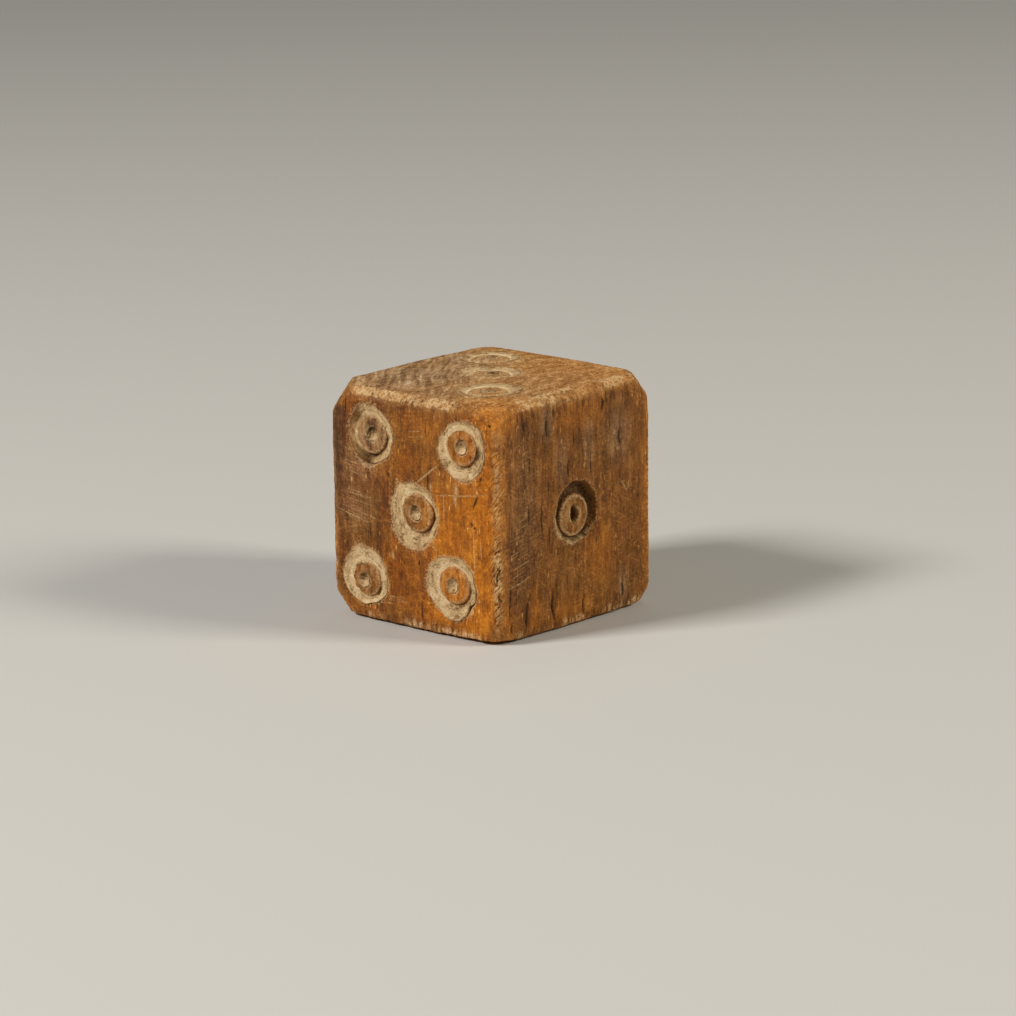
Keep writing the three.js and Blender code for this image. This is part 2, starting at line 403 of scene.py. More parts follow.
# Its scratches with pale earth in them: half width, depth, then points right and up
SCRATCHES = {
    "five": [
        (0.17, 0.05, [(4.06, 2.95), (4.03, 2), (4, 0.9)]),
        (0.06, 0.03, [(2.6, 3.75), (1.5, 2.9), (0.2, 1.9)]),
        (0.035, 0.015, [(1.9, 1.5), (4.4, 1.8), (6.8, 2.15)]),
        (0.045, 0.02, [(5.5, 0.3), (5.6, -2.2), (5.75, -5.3)]),
        (0.045, 0.02, [(2.9, 2), (2.95, 0.6), (2.9, -0.6)]),
        (0.04, 0.02, [(6.2, -1), (6.25, -2.4)]), (0.12, 0.03, [(-1.75, -2.9), (-1.7, -3.5)]),
        (0.08, 0.03, [(-1.25, 2.3), (-1.35, 1.8)]), (0.1, 0.03, [(1.75, 2.3), (1.8, 1.7)]),
        (0.1, 0.03, [(5.7, -5.15), (6.1, -5.2)]),
    ],
    "one": [
        (0.05, 0.03, [(4.45, 1.15), (4.8, 0.7), (5.15, 0.2)]),
        (0.04, 0.02, [(5.15, 0.2), (5.3, 0.75), (5.4, 1.1)]),
        (0.04, 0.02, [(-7.2, -4.3), (-5.9, -4.1), (-4.6, -3.7)]),
    ],
}

# Its bundles of fine scratches: how many, the places where the first and the last one start,
# and the places where they end
BUNDLES = {
    "five": [
        (15, (-7.2, 1.2), (-7.2, -0.9), (-2.4, 1.1), (-2.9, -1.9)),
        (6, (-6.9, 4), (-6.6, 2.1), (-4, 3.6), (-3, 1.7)),
        (7, (-3.4, -6.1), (-3.2, -7.2), (-0.3, -6), (-0.4, -7)),
        (6, (-1.6, 6.9), (-0.4, 5.2), (1.4, 7.1), (1.6, 5.5)),
        (6, (0.8, -0.9), (1.4, -2.6), (2.6, -2.2), (3.2, -3.6)),
        (5, (4.6, 2.6), (4.9, 2), (7, 2.9), (7.1, 2.3)),
    ],
    "one": [
        (13, (-7.2, 1.4), (-7.2, -4.9), (-4.6, 1.9), (-4.7, -4.2)),
        (6, (-7.2, 6.4), (-7.2, 3), (-5, 6.9), (-4.8, 3.3)),
    ],
    "two": [(10, (-6.8, 2.2), (-6.7, 0.2), (-2, 0.9), (-2.6, -0.5))],
    "six": [(9, (-6.9, 3.6), (-6.7, 1.4), (-2.6, 4.2), (-3.2, 2.4))],
    "four": [(8, (-1.5, 1.4), (-0.4, -0.6), (1.8, 3.2), (2.2, 1.4))],
}


def bundled_scratches(bundles, chance):
    """A bundle's scratches start and end at chance places along its lines, in line with it."""
    found = []
    for count, *ends in bundles:
        ends = np.array(ends)
        for share in np.linspace(0, 1, count):
            share = share + chance.uniform(-0.35, 0.35) / count
            begin = ends[0] + (ends[1] - ends[0]) * share
            finish = ends[2] + (ends[3] - ends[2]) * share
            first, last = chance.uniform(0, 0.3), chance.uniform(0.6, 1.05)
            line = [begin + (finish - begin) * first, begin + (finish - begin) * last]
            found.append((chance.uniform(0.01, 0.03), 0.01, line))
    return found


scratch_chance = np.random.default_rng(21)
for face, bundles in BUNDLES.items():
    SCRATCHES.setdefault(face, []).extend(bundled_scratches(bundles, scratch_chance))

CUT_STEP = 0.13  # how close points follow each other along a cut
CUT_WAVE = 1.4  # how often a cut wavers, per millimetre
LIP_STRENGTH = 0.4  # how strongly a cut's colour reaches its lips


def line_points(half_width, depth, corners, seed):
    """Three rows of points along a cut in the surface: its bottom and its two lips."""
    corners = np.array(corners)
    lengths = np.concatenate([[0], np.cumsum(np.hypot(*np.diff(corners, axis=0).T))])
    along = np.linspace(0, lengths[-1], max(6, int(lengths[-1] / CUT_STEP)))
    middle = np.stack([np.interp(along, lengths, corners[:, axis]) for axis in (0, 1)], -1)
    way = np.gradient(middle, axis=0)
    side = np.stack([-way[:, 1], way[:, 0]], -1) / np.hypot(*way.T)[:, None]
    wobble = np.array([noise.noise(Vector((s * CUT_WAVE, seed, 0))) for s in along])
    middle = middle + side * wobble[:, None] * half_width * 0.9
    taper = np.sin(np.linspace(0.06, 0.94, len(along)) * math.pi) ** 0.6
    lips = side * (half_width * taper)[:, None]
    places = np.concatenate([middle, middle + lips, middle - lips])
    bottom = np.concatenate([np.ones(len(along)), np.zeros(2 * len(along))])
    strength = np.concatenate([np.ones(len(along)), np.full(2 * len(along), LIP_STRENGTH)])
    return places, bottom * np.tile(taper, 3) * depth, strength * np.tile(taper, 3)


LATTICE_STEP = 0.165
EDGE_STEP = 0.1
EDGE_BAND = 1.7
PIP_MARGIN = 0.28  # how far the lattice stays away from a groove
RIM_MARGIN = 0.3  # how far cuts stay away from grooves and from a face's edges


def lattice(half):
    """Places along one side of a face: closer together near the edges, the same both ways."""
    inner = half - EDGE_BAND
    middle = np.linspace(0, inner, round(inner / LATTICE_STEP) + 1)
    edge = np.linspace(inner, half, round(EDGE_BAND / EDGE_STEP) + 1)[1:]
    right = np.concatenate([middle, edge])
    return np.concatenate([-right[:0:-1], right])


# How much pale dust is rubbed into the wood round a pip, where it is less than usual
CHALKINESS = {("one", 1): 0.5, ("five", 1): 0.68, ("five", 2): 0.85}
HAIR_WIDTH = 0.03  # cuts thinner than this are also fainter


def onto_block(face, places, depth=0.0):
    """Places on a face, so far below it, in the block's own millimetres."""
    right, up, out = FACES[face]
    return places[:, :1] * right + places[:, 1:] * up + out * (abs(out) @ HALF - depth)


def cut_rows(face, places, keep, own_pips, edge):
    """Points along a face's cuts. The lattice points too near to them are struck off keep."""
    rows = []
    kinds = [("crack", *cut) for cut in CRACKS.get(face, ())]
    kinds += [("scratch", *cut) for cut in SCRATCHES.get(face, ())]
    for index, (kind, half_width, depth, corners) in enumerate(kinds):
        line, deep, strength = line_points(half_width, depth, corners, index * 3.7)
        clear = (abs(line) < edge - RIM_MARGIN).all(1)
        for pip in own_pips:
            clear &= mouth_distance(pip, line) > RIM_MARGIN
        line, deep, strength = line[clear], deep[clear], strength[clear]
        if len(line) == 0:
            continue
        low, high = line.min(0) - half_width, line.max(0) + half_width
        near = np.flatnonzero((places > low).all(1) & (places < high).all(1) & keep)
        apart = np.hypot(*(places[near, None, :] - line[None, :, :]).transpose(2, 0, 1)).min(1)
        keep[near[apart < half_width * 1.2]] = False
        strength *= min(1, half_width / HAIR_WIDTH)
        crack, scratch = strength * (kind == "crack"), strength * (kind == "scratch")
        rows.append((line, deep, np.zeros(len(line)), crack, scratch))
    return rows


def pip_stains(face, own_pips, places):
    """Shares of dust outside the pips, of wear on their rims, and of each island's top."""
    rub, rim, isle = np.zeros((3, len(places)))
    for pip in own_pips:
        outside = mouth_distance(pip, places)
        chalk = CHALKINESS.get((face, pip["number"]), 1.0)
        lip = 0.03 if face == "one" else 0.2
        width = 0.24 + 0.14 * noise_at(np.pad(places, ((0, 0), (0, 1))), 0.9, pip["seed"])
        dust = chalk * np.exp(-np.maximum(outside, 0) / width)
        rub = np.maximum(rub, np.where(outside > -lip, dust, 0))
        from_island = np.hypot(*(places - pip["island"]).T) - pip["island_radius"] + 0.12
        from_dot = np.hypot(*(places - pip["dot"]).T) - DOT_RADIUS * 1.15
        rim += np.exp(-(from_island / 0.15) ** 2) + np.exp(-(from_dot / 0.12) ** 2)
        isle += 1 / (1 + np.exp(from_island / 0.06))
    return rub, rim, isle


def face_points(face):
    """All of a face's points, with their depth and stains, and the triangles between them."""
    right, up, _ = FACES[face]
    edge = np.array([abs(right) @ HALF, abs(up) @ HALF])
    lines = np.meshgrid(lattice(edge[0]), lattice(edge[1]), indexing="ij")
    places = np.stack(lines, -1).reshape(-1, 2)
    rim = (abs(places) == edge).any(1)
    own_pips = [pip for pip in pips if pip["face"] == face]
    keep = np.ones(len(places), bool)
    for pip in own_pips:
        keep &= mouth_distance(pip, places) > PIP_MARGIN
    rows = cut_rows(face, places, keep, own_pips, edge)
    places = places[keep | rim]
    rows.append((places, *np.zeros((4, len(places)))))
    for pip in own_pips:
        spots, deep, hollow = pip_points(pip)
        rows.append((spots, deep, hollow, *np.zeros((2, len(spots)))))
    places, *stains = (np.concatenate(column) for column in zip(*rows))
    found = delaunay_2d_cdt([Vector(place) for place in places], [], [], 0, 1e-5)
    first = np.array([origin[0] for origin in found[3]])
    places = places[first]
    stains = [stain[first] for stain in stains] + [*pip_stains(face, own_pips, places)]
    return onto_block(face, places) + 0.0, places, np.stack(stains, -1), np.array(found[2])


# Blots of colour in each face's wood: right, up, half width, half height, strength
WARM_BLOTS = {
    "five": [
        (6.4, 1, 3.2, 7, 1), (5.4, -5, 3.4, 4, 1), (2.6, -6.4, 2.6, 1.6, 0.8),
        (3, -1, 2.2, 3.6, 0.9), (1, 5.9, 2.6, 1.3, 0.4), (-1, -4.4, 2.2, 3, 0.55),
        (0, 3.4, 3.4, 1.6, 0.35), (-7.7, -1.5, 0.6, 0.5, 1), (-5, -7.4, 3, 0.8, 0.4),
        (-6.5, 7.4, 2.4, 0.9, 0.5), (7.4, 7.4, 1.8, 1.5, 1),
    ],
    "one": [
        (-7, 7.2, 1.2, 1, 0.7), (7.5, 0, 0.7, 8, 0.5), (2.2, -3.4, 1.6, 2.4, 0.35),
        (-0.5, -7, 2.6, 1.2, 0.3), (-7.4, -6.8, 1.2, 1.6, 0.5), (-4.4, -6.2, 0.7, 1.8, 0.4),
        (0.6, 6.6, 2.6, 1.2, 0.35), (-6.3, 3, 0.6, 3, 0.2),
    ],
    "three": [(5, 3, 5, 5, 0.4), (6.8, -6, 3, 2.4, 0.5)],
    "two": [(-4, -3, 3.4, 6, 0.7), (5, 4.4, 3, 3, 0.4)],
    "six": [(-4.4, 0, 3.2, 7, 0.6), (4.8, -4, 3, 3.4, 0.5)],
    "four": [(2, -3, 5, 4, 0.4)],
}
GREY_BLOTS = {
    "five": [
        (-3.66, 4.86, 1.5, 1.5, 0.7), (-7.4, 3.4, 1.4, 4, 0.35), (-5.4, 2.6, 2.2, 1.6, 0.3),
        (-5.6, -0.2, 2.2, 1.6, 0.25),
    ],
    "one": [
        (-3, 6.2, 0.6, 1.3, 0.6), (4.7, -6.3, 0.6, 1.4, 0.5), (-5.6, 1, 1.6, 6.4, 0.25),
        (1.2, 4.4, 0.7, 1.8, 0.4), (4.2, 4.4, 1.3, 2, 0.5), (-1.6, 3.4, 0.6, 1.6, 0.4),
    ],
    "three": [
        (-4, -3.4, 5.5, 5.5, 0.9), (-5, 2, 4, 4, 0.8), (1, -5.8, 3.4, 2.4, 0.6),
        (4.4, 0, 4.4, 6.4, 0.4), (-0.3, 0.4, 3, 2.6, 0.6),
    ],
    "two": [(6, -2, 1.6, 5, 0.6)],
    "six": [(0, 6.4, 5, 1.4, 0.5), (-0.4, -3, 1.5, 3, 0.4)],
    "four": [(-4, 2, 4, 5, 0.7)],
}
# Where the wood is painted darker: in patches, in a strip along the five's left edge and in one along
# the one's foot
DARK_BLOTS = {
    "five": [
        (-3.66, 4.86, 1.2, 1.2, 0.9), (0.44, 0.08, 1.2, 1.2, 0.3), (-7.6, 4.2, 1.6, 5, 1.8),
        (-7.6, -4, 1, 4, 0.6), (-2.8, -2.4, 1.4, 2, 0.4), (-1.1, -4.8, 1.4, 2.2, 0.7),
        (0.2, 3.4, 2.6, 1.8, 0.6), (1.4, -6, 0.9, 1.2, 0.3), (-5.6, 6.9, 1.6, 0.7, 0.4),
        (-1.2, 4.4, 1, 1.6, 0.3),
    ],
    "one": [
        (-5.6, -2.6, 1.8, 4.4, 0.7), (-5.8, 3.6, 1.8, 3.2, 0.35), (1.9, -1.3, 0.4, 0.7, 0.9),
        (2.4, 1, 0.5, 2, 0.4), (0.6, -7.9, 6.5, 0.6, 0.5), (-2.9, 6.4, 0.4, 1.2, 0.7),
    ],
    "two": [(-6.4, 5, 1.4, 3, 0.5), (1.4, -6, 1.6, 2, 0.4)],
    "six": [(6.6, -4, 1.4, 4, 0.5)],
    "four": [(6, 5, 2.4, 2.4, 0.4)],
    "three": [(-1.6, -7, 3, 0.4, 0.3)],
}
# Where strokes of a coarse file still show
FILED_BLOTS = {
    "one": [(-7.9, -3.8, 0.5, 4, 1), (-5.6, -2.2, 1.8, 4.2, 0.35), (-7.9, 2.6, 0.6, 4.4, 0.5)],
    "two": [(-7.6, 0, 0.6, 6, 0.8)],
    "six": [(5.6, 2, 2, 4, 0.6)],
}
BLOT_DEPTH = 1.1  # how far round an edge a blot reaches


def blot_strength(blots, places):
    """How strong these blots are at places in the block. Each reaches a little round its edges."""
    total = np.zeros(len(places))
    for face, own_blots in blots.items():
        right, up, out = FACES[face]
        for x, y, half_x, half_y, strength in own_blots:
            away = ((places @ right - x) / half_x) ** 2 + ((places @ up - y) / half_y) ** 2
            away += ((places @ out - abs(out) @ HALF) / BLOT_DEPTH) ** 2
            total = np.maximum(total, strength * np.exp(-away ** 1.5))
    return total


# File strokes run where this is constant: gently up to the right on the one, steeply on the edge
FILE_CLIMB = np.array([-1.3, -0.22, 1.0])
STROKE_PITCH = 0.3
STROKE_DEPTH = 0.035


def relief_at(place, worn, near_edge, top_edges, low_edge, filed):
    """How far the wood stands out from the smoothly worn block, in millimetres."""
    waves = 0.05 * noise_at(place, 4.5) + 0.02 * noise_at(place, 1.5, 3.1)
    fibres = 0.012 * noise_at(place * np.array([1, 1, 0.12]), 0.4, 9.4)
    crumble = noise_at(place, 0.3, 5.5) * (0.01 + 0.03 * worn)
    slant = place @ FILE_CLIMB + 0.1 * noise_at(place, 0.8, 1.7)
    strokes = np.maximum(0, np.sin(slant * math.tau / STROKE_PITCH))
    relief = waves + fibres - crumble - strokes * STROKE_DEPTH * filed * (0.2 + near_edge)
    foot = np.exp(-((place[:, 2] + HALF[2]) / 0.5) ** 2)
    # Dents, pits from the file, and two kinds of torn fibres: how deep, how wide, how squeezed
    # their noise is upright, how rare they are, the noise's seed, and where they are
    for deep, size, squeeze, rare, seed, where in (
        (0.25, 0.8, 1.0, 0.25, 8.2, worn),
        (0.6, 0.45, 0.6, 0.15, 7.7, filed * near_edge),
        (0.12, 0.3, 0.25, 0.0, 6.4, top_edges + 0.5 * low_edge),
        (0.1, 0.35, 0.2, 0.0, 2.9, foot + 0.8 * top_edges),
    ):
        torn = noise_at(place * np.array([1, 1, squeeze]), size, seed) - rare
        relief -= np.maximum(0, torn) * deep * where
    return relief


# The planes' names, in the order of their shares in the surface
PLANES = list(FACES) + [f"{face_a}-{face_b}" for face_a, face_b, *_ in BEVELS]


def build_block():
    cubes, columns, triangles, cells = [], [], [], []
    count = 0
    for index, face in enumerate(FACES):
        cube, places, column, faces = face_points(face)
        cubes.append(cube)
        columns.append(column)
        triangles.append(faces + count)
        # Each face has its own cell of the map for baking, three across and two up
        corner = np.array([index % 3, index // 3])
        cells.append((corner + 0.5 + places / HALF.max() * 0.48) / np.array([3, 2]))
        count += len(cube)
    triangle, cell = np.concatenate(triangles), np.concatenate(cells)

    # Faces share the points along their edges
    cube, first, same = np.unique(
        np.concatenate(cubes), axis=0, return_index=True, return_inverse=True)
    depth, hollow, crack, scratch, rub, rim, isle = np.concatenate(columns)[first].T
    start = np.clip(cube, CORE_DEPTH - HALF, HALF - CORE_DEPTH)
    way = cube - start
    way /= np.linalg.norm(way, axis=1)[:, None]
    place, outward, share = wear(start, way)

    on = dict(zip(PLANES, share.T))
    worn = 1 - share[:, :len(FACES)].sum(1)
    near_edge = on["five-one"]
    top_edges = on["three-five"] + 0.7 * on["three-one"]
    end_grain = on["three"] + on["four"]
    filed = np.maximum(blot_strength(FILED_BLOTS, place), 0.15 * near_edge)
    # The lower edges and the top's rim along the one are frayed, in patches
    low_edge = np.exp(-((place[:, 2] + HALF[2]) / 0.7) ** 2)
    low_edge *= on["one"] + 0.9 * on["five"] + near_edge
    top_rim = np.exp(-((place[:, 0] - HALF[0] + 0.85) / 0.35) ** 2) * on["three"]
    top_rim += 0.8 * top_edges * np.clip((place[:, 0] + 7.2) / 3.0, 0.1, 1)
    patchy = 0.5 + 0.9 * noise_at(place, 1.6, 6.6) + 0.5 * noise_at(place, 0.5, 4.1)
    frayed = np.maximum(0, (top_rim + 0.75 * low_edge) * patchy)

    relief = relief_at(place, worn, near_edge, top_edges, low_edge, filed) * (depth < 0.2)
    place = place - way * depth[:, None] + outward * relief[:, None]
    below_top = place[:, 2] - HALF[2] + 1.1

    mesh = bpy.data.meshes.new("wooden_block")
    mesh.from_pydata(((place + MIDDLE) * MM).tolist(), [], same.reshape(-1)[triangle].tolist())
    layer = mesh.uv_layers.new(name="OFBake")
    layer.data.foreach_set("uv", cell[triangle.reshape(-1)].astype(np.float32).reshape(-1))
    stains = {
        # painted shade in the pips' deep parts
        "hollow": hollow,
        "crack": crack,
        "scratch": scratch,
        "smear": np.maximum(rub, rim * 0.75),
        "worn": np.maximum(worn, 0.8 * end_grain),
        "frayed": frayed,
        "nicked": np.exp(-(below_top / 0.45) ** 2) * on["one"] + low_edge,
        "filed": filed,
        "dark": blot_strength(DARK_BLOTS, place),
        "warm": blot_strength(WARM_BLOTS, place),
        "grey": blot_strength(GREY_BLOTS, place),
        "ends": end_grain,
        "island": isle,
        "ruddy": 0.2 + 0.5 * on["five"],
    }
    return finish_mesh(mesh, stains)


def finish_mesh(mesh, stains):
    """Stores the stains for the material, and makes the mesh an object of the scene."""
    for name, values in stains.items():
        attribute = mesh.attributes.new(name, "FLOAT", "POINT")
        attribute.data.foreach_set("value", values.astype(np.float32))
    mesh.shade_smooth()
    made = bpy.data.objects.new(mesh.name, mesh)
    bpy.context.scene.collection.objects.link(made)
    return made


def colour(hexadecimal):
    """An sRGB hex colour as linear red, green, blue and alpha."""
    parts = [int(hexadecimal[i:i + 2], 16) / 255 for i in (1, 3, 5)]
    linear = [p / 12.92 if p <= 0.04045 else ((p + 0.055) / 1.055) ** 2.4 for p in parts]
    return (*linear, 1.0)


def add(tree, kind, inputs, stops=(), **settings):
    """Adds a shader node with its settings, its colour stops, and its inputs by name or in
    order: linked sockets, values, or sRGB hex colours."""
    made = tree.nodes.new("ShaderNode" + kind)
    for name, value in settings.items():
        setattr(made, name, value)
    for name, value in inputs.items() if isinstance(inputs, dict) else enumerate(inputs):
        if isinstance(value, bpy.types.NodeSocket):
            tree.links.new(value, made.inputs[name])
        else:
            made.inputs[name].default_value = colour(value) if isinstance(value, str) else value
    for index, (place, hexadecimal) in enumerate(stops):
        if index >= len(made.color_ramp.elements):
            made.color_ramp.elements.new(place)
        made.color_ramp.elements[index].position = place
        made.color_ramp.elements[index].color = colour(hexadecimal)
    return made.outputs[0]


def lumps(tree, vector, per_mm, low, high, detail=3.0, rough=0.6, squeeze=None):
    """A pattern with so many lumps to the millimetre, its levels from low to high made 0 to 1.
    A squeeze below 1 in X, Y or Z draws its lumps out that way."""
    if squeeze:
        vector = add(tree, "VectorMath", (vector, squeeze), operation="MULTIPLY")
    inputs = {"Vector": vector, "Scale": per_mm, "Detail": detail, "Roughness": rough}
    return add(tree, "MapRange", (add(tree, "TexNoise", inputs), low, high))


def measure(tree, mm, *ways):
    """The place along two or three directions of its own, instead of along X, Y and Z."""
    along = [add(tree, "VectorMath", (mm, way), operation="DOT_PRODUCT") for way in ways]
    return add(tree, "CombineXYZ", [socket.node.outputs["Value"] for socket in along])


def overlap(tree, patterns):
    """How strong all of these patterns are at once: their product."""
    product, *others = patterns
    for other in others:
        product = add(tree, "Math", (product, other), operation="MULTIPLY")
    return product


def build_up(tree, value, layers):
    """Adds layers to a value. Each is the overlap of its patterns, times its last number."""
    for *patterns, amount in layers:
        layer = overlap(tree, patterns)
        value = add(tree, "Math", (layer, amount, value), operation="MULTIPLY_ADD")
    return value


def paint(tree, under, coats):
    """Lays coats of colour one over another. Each covers where its patterns overlap."""
    for *patterns, over in coats:
        under = add(tree, "MixRGB", (overlap(tree, patterns), under, over))
    return under


def start_material(name, masks):
    """A material with its tree, its surface, its place in millimetres and the mesh's masks."""
    material = bpy.data.materials.new(name)
    material.use_nodes = True
    tree = material.node_tree
    spot = tree.nodes.new("ShaderNodeTexCoord").outputs["Object"]
    mm = add(tree, "VectorMath", (spot, (1000, 1000, 1000)), operation="MULTIPLY")
    found = {}
    for mask in masks:
        found[mask] = add(tree, "Attribute", {}, attribute_name=mask).node.outputs["Fac"]
    return material, tree, tree.nodes["Principled BSDF"], mm, found


def finish_surface(tree, surface, skin, height, height_mm, shine):
    """Joins up a surface's colour and its finest relief, with the usual IOR of both materials.
    Shine is the share of light it still mirrors, since both are dusty or dry."""
    bump = add(tree, "Bump", {"Height": height, "Distance": height_mm * MM, "Strength": 1.0})
    tree.links.new(skin, surface.inputs["Base Color"])
    tree.links.new(bump, surface.inputs["Normal"])
    surface.inputs["IOR"].default_value = 1.5
    surface.inputs["Specular IOR Level"].default_value = shine


def handled_hardwood():
    """Close-grained hardwood, sawn, filed and polished only by handling: brown with orange
    where fingers rubbed it, dark open pores along the grain, pale dust in some of them."""
    material, tree, surface, mm, masks = start_material("handled_hardwood", (
        "hollow", "crack", "scratch", "smear", "worn", "frayed", "filed", "dark", "warm",
        "grey", "ends", "island", "ruddy", "nicked"))

    # Along the grain, which stands upright, streaks are drawn out about ten times
    grain = (1, 1, 0.09)
    bands = lumps(tree, mm, 0.7, 0.36, 0.64, squeeze=grain)
    streaks = lumps(tree, mm, 2.8, 0.34, 0.66, 4, 0.66, grain)
    fibres = lumps(tree, mm, 9, 0.32, 0.68, squeeze=(1, 1, 0.13))
    fringe = lumps(tree, mm, 3.4, 0.36, 0.64, squeeze=(1, 1, 0.2))
    mottle = lumps(tree, mm, 1.5, 0.36, 0.64, 5, 0.7, (1, 1, 0.6))
    reddish = lumps(tree, mm, 0.5, 0.42, 0.6, 4, squeeze=(1, 1, 0.4))
    chips = lumps(tree, mm, 1.7, 0.5, 0.6, squeeze=(1, 1, 0.8))
    pits = lumps(tree, mm, 2.2, 0.58, 0.65, squeeze=(1, 1, 0.7))
    grit = lumps(tree, mm, 7, 0.34, 0.66)

    # Yearly rings about 0.35 mm apart on the end grain, and the saw's lines across it
    wander = add(tree, "TexNoise", {"Vector": mm, "Scale": 0.16, "Detail": 1.0})
    rings = measure(tree, mm, (0.8, 0.6, 0), (-0.036, 0.048, 0))
    rings = add(tree, "VectorMath", (wander, (2, 0, 0), rings), operation="MULTIPLY_ADD")
    rings = lumps(tree, rings, 2.6, 0.38, 0.62, 2)
    saw_lines = lumps(tree, mm, 5, 0.34, 0.66, squeeze=(1, 0.12, 1))

    # File strokes climb to the right; hair scratches from handling cross in two directions,
    # painted paler for the sheen they catch. Both are drawn coarser than they are, to show
    strokes = measure(tree, mm, FILE_CLIMB, (0.45, 0.45, 0))
    strokes = lumps(tree, strokes, 5.4, 0.36, 0.64)
    filing = add(tree, "Math", (strokes, 0.5), operation="SUBTRACT")
    scuffs_and_sheen = []
    for climb in (0.2, -0.5):
        scuff = measure(tree, mm, (-9 * climb, -9 * climb, 9), (1, 1, climb))
        scuffs_and_sheen.append(lumps(tree, scuff, 0.7, 0.52, 0.7))
    scuffs_and_sheen = add(tree, "Math", scuffs_and_sheen, operation="MAXIMUM")
    scuffs_and_sheen = overlap(tree, (scuffs_and_sheen, lumps(tree, mm, 0.45, 0.42, 0.6)))

    # Open pores of about 0.1 mm: dark slots on the sides, and others that pale dust has filled
    specks = []
    two_kinds = ((0.09, 3.6, 0.26, 0.5, 0.6), (0.35, 3.2, 0.27, 0.45, 0.6))
    for squeeze, per_mm, size, low, high in two_kinds:
        drawn = add(tree, "VectorMath", (mm, (1, 1, squeeze)), operation="MULTIPLY")
        cells = add(tree, "TexVoronoi", {"Vector": drawn, "Scale": per_mm})
        cells = add(tree, "MapRange", (cells, size, size / 2))
        specks.append(overlap(tree, (cells, lumps(tree, drawn, 1.0, low, high))))
    pores, dust = specks

    # How light each spot is, before its hue is chosen
    sides = build_up(tree, 1.0, ((masks["ends"], -0.6),))
    grey_ends = overlap(tree, (masks["ends"], masks["grey"]))
    # The hair scratches lighten the wood as painted sheen
    tone = build_up(tree, 0.12, (
        (streaks, sides, 0.1), (bands, sides, 0.08), (fibres, 0.13), (mottle, 0.2), (grit, 0.19),
        (scuffs_and_sheen, 0.2), (rings, grey_ends, 0.38), (grey_ends, -0.2),
        (saw_lines, masks["ends"], 0.24), (grit, masks["ends"], 0.14), (masks["ends"], -0.09),
        (filing, masks["filed"], 0.45), (masks["dark"], -0.17), (masks["island"], 0.05),
        (pores, -0.38), (dust, 0.36),
    ))
    shades = {}
    for name, *hexadecimals in (
        ("brown", "#221106", "#573412", "#7e4f1f", "#9f6b33", "#cf9e64"),
        ("red", "#1d0a04", "#50260c", "#773d15", "#985724", "#c68a50"),
        ("orange", "#502106", "#974f0a", "#bd6c12", "#d98b25", "#f0bf6e"),
        ("grey", "#302218", "#6a5038", "#947352", "#b3926c", "#dcc7a2"),
        ("tan", "#472910", "#8c5d2c", "#b78042", "#d0a062", "#efd4a2"),
    ):
        stops = zip((0, 0.3, 0.5, 0.7, 1), hexadecimals)
        shades[name] = add(tree, "ValToRGB", (tone,), stops=stops)

    patchy = add(tree, "MapRange", (mottle, 0.0, 1.0, 0.55, 1.1))
    gritty = add(tree, "MapRange", (grit, 0.0, 1.0, 0.25, 0.9))
    smeared = build_up(tree, 0.0, ((grit, 0.45), (masks["smear"], 0.8)))
    broken = build_up(tree, masks["frayed"], ((fringe, 0.45), (grit, 0.2)))
    bruised = build_up(tree, fringe, ((grit, 1.0),))
    bruised = add(tree, "MapRange", (bruised, 0.5, 1.5, 0.0, 0.85))
    filed_edge = overlap(tree, (masks["filed"], masks["worn"]))
    wood = paint(tree, shades["brown"], (
        (reddish, masks["ruddy"], shades["red"]),
        (masks["worn"], patchy, shades["tan"]),
        (masks["warm"], patchy, shades["orange"]),
        (masks["grey"], patchy, shades["grey"]),
        (add(tree, "MapRange", (broken, 0.42, 0.8)),
            add(tree, "MapRange", (masks["frayed"], 0.06, 0.36)), 0.85,
            add(tree, "MixRGB", (bruised, shades["tan"], "#e0bd8b"))),
        (masks["nicked"], add(tree, "MapRange", (fringe, 0.4, 0.1, 0.0, 0.8)), "#3c2512"),
        (filed_edge, chips, "#cfa268"),
        (filed_edge, add(tree, "MapRange", (strokes, 0.4, 0.75)), "#e0c08c"),
        (filed_edge, add(tree, "MapRange", (strokes, 0.34, 0.1)), "#3c2411"),
        (filed_edge, pits, "#2e1c0c"),
        (masks["island"], add(tree, "MapRange", (mottle, 0.3, 0.9, 0.0, 0.35)), "#c49a62"),
        (add(tree, "MapRange", (smeared, 0.5, 1.05, 0.0, 0.9)), "#cba878"),
        (add(tree, "MapRange", (masks["scratch"], 0.15, 0.8)), gritty, "#cfab76"),
        # Painted shade in the pips' deep parts: dark brown, flecked by the grit
        (masks["hollow"], add(tree, "MixRGB", (grit, "#231408", "#6e4b24"))),
        (add(tree, "MapRange", (masks["crack"], 0.15, 0.7, 0.0, 0.9)), "#1d1209"),
    ))
    dull = build_up(tree, 0.6, ((masks["warm"], -0.14), (masks["worn"], 0.15), (grit, 0.12)))
    tree.links.new(dull, surface.inputs["Roughness"])
    height = build_up(tree, 0.0, (
        (fibres, 0.5), (streaks, 0.4), (grit, 0.7), (scuffs_and_sheen, 0.4), (filing, masks["filed"], 1.6),
        (fringe, masks["frayed"], 1.2), (rings, grey_ends, 1.0), (pores, -1.6), (dust, 0.6),
    ))
    finish_surface(tree, surface, wood, height, 0.025, 0.16)
    return material


block = build_block()
block.data.materials.append(handled_hardwood())
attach(block, "root")
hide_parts("die_body")

# The packing: pale earth, mostly lime and clay, worked into the grooves and dots while wet.
# It dried and shrank, so it lies lowest at the islands' feet and its edges are ragged.
FILL_SPOKES = 96
RING_ACROSS = np.linspace(-0.42, 1, 18)
CRESCENT_FROM, CRESCENT_TO = math.radians(125), math.radians(318)
LOW_SIDE = math.radians(-45)  # towards it, a groove's packing is lowest, and painted shade makes it darkest
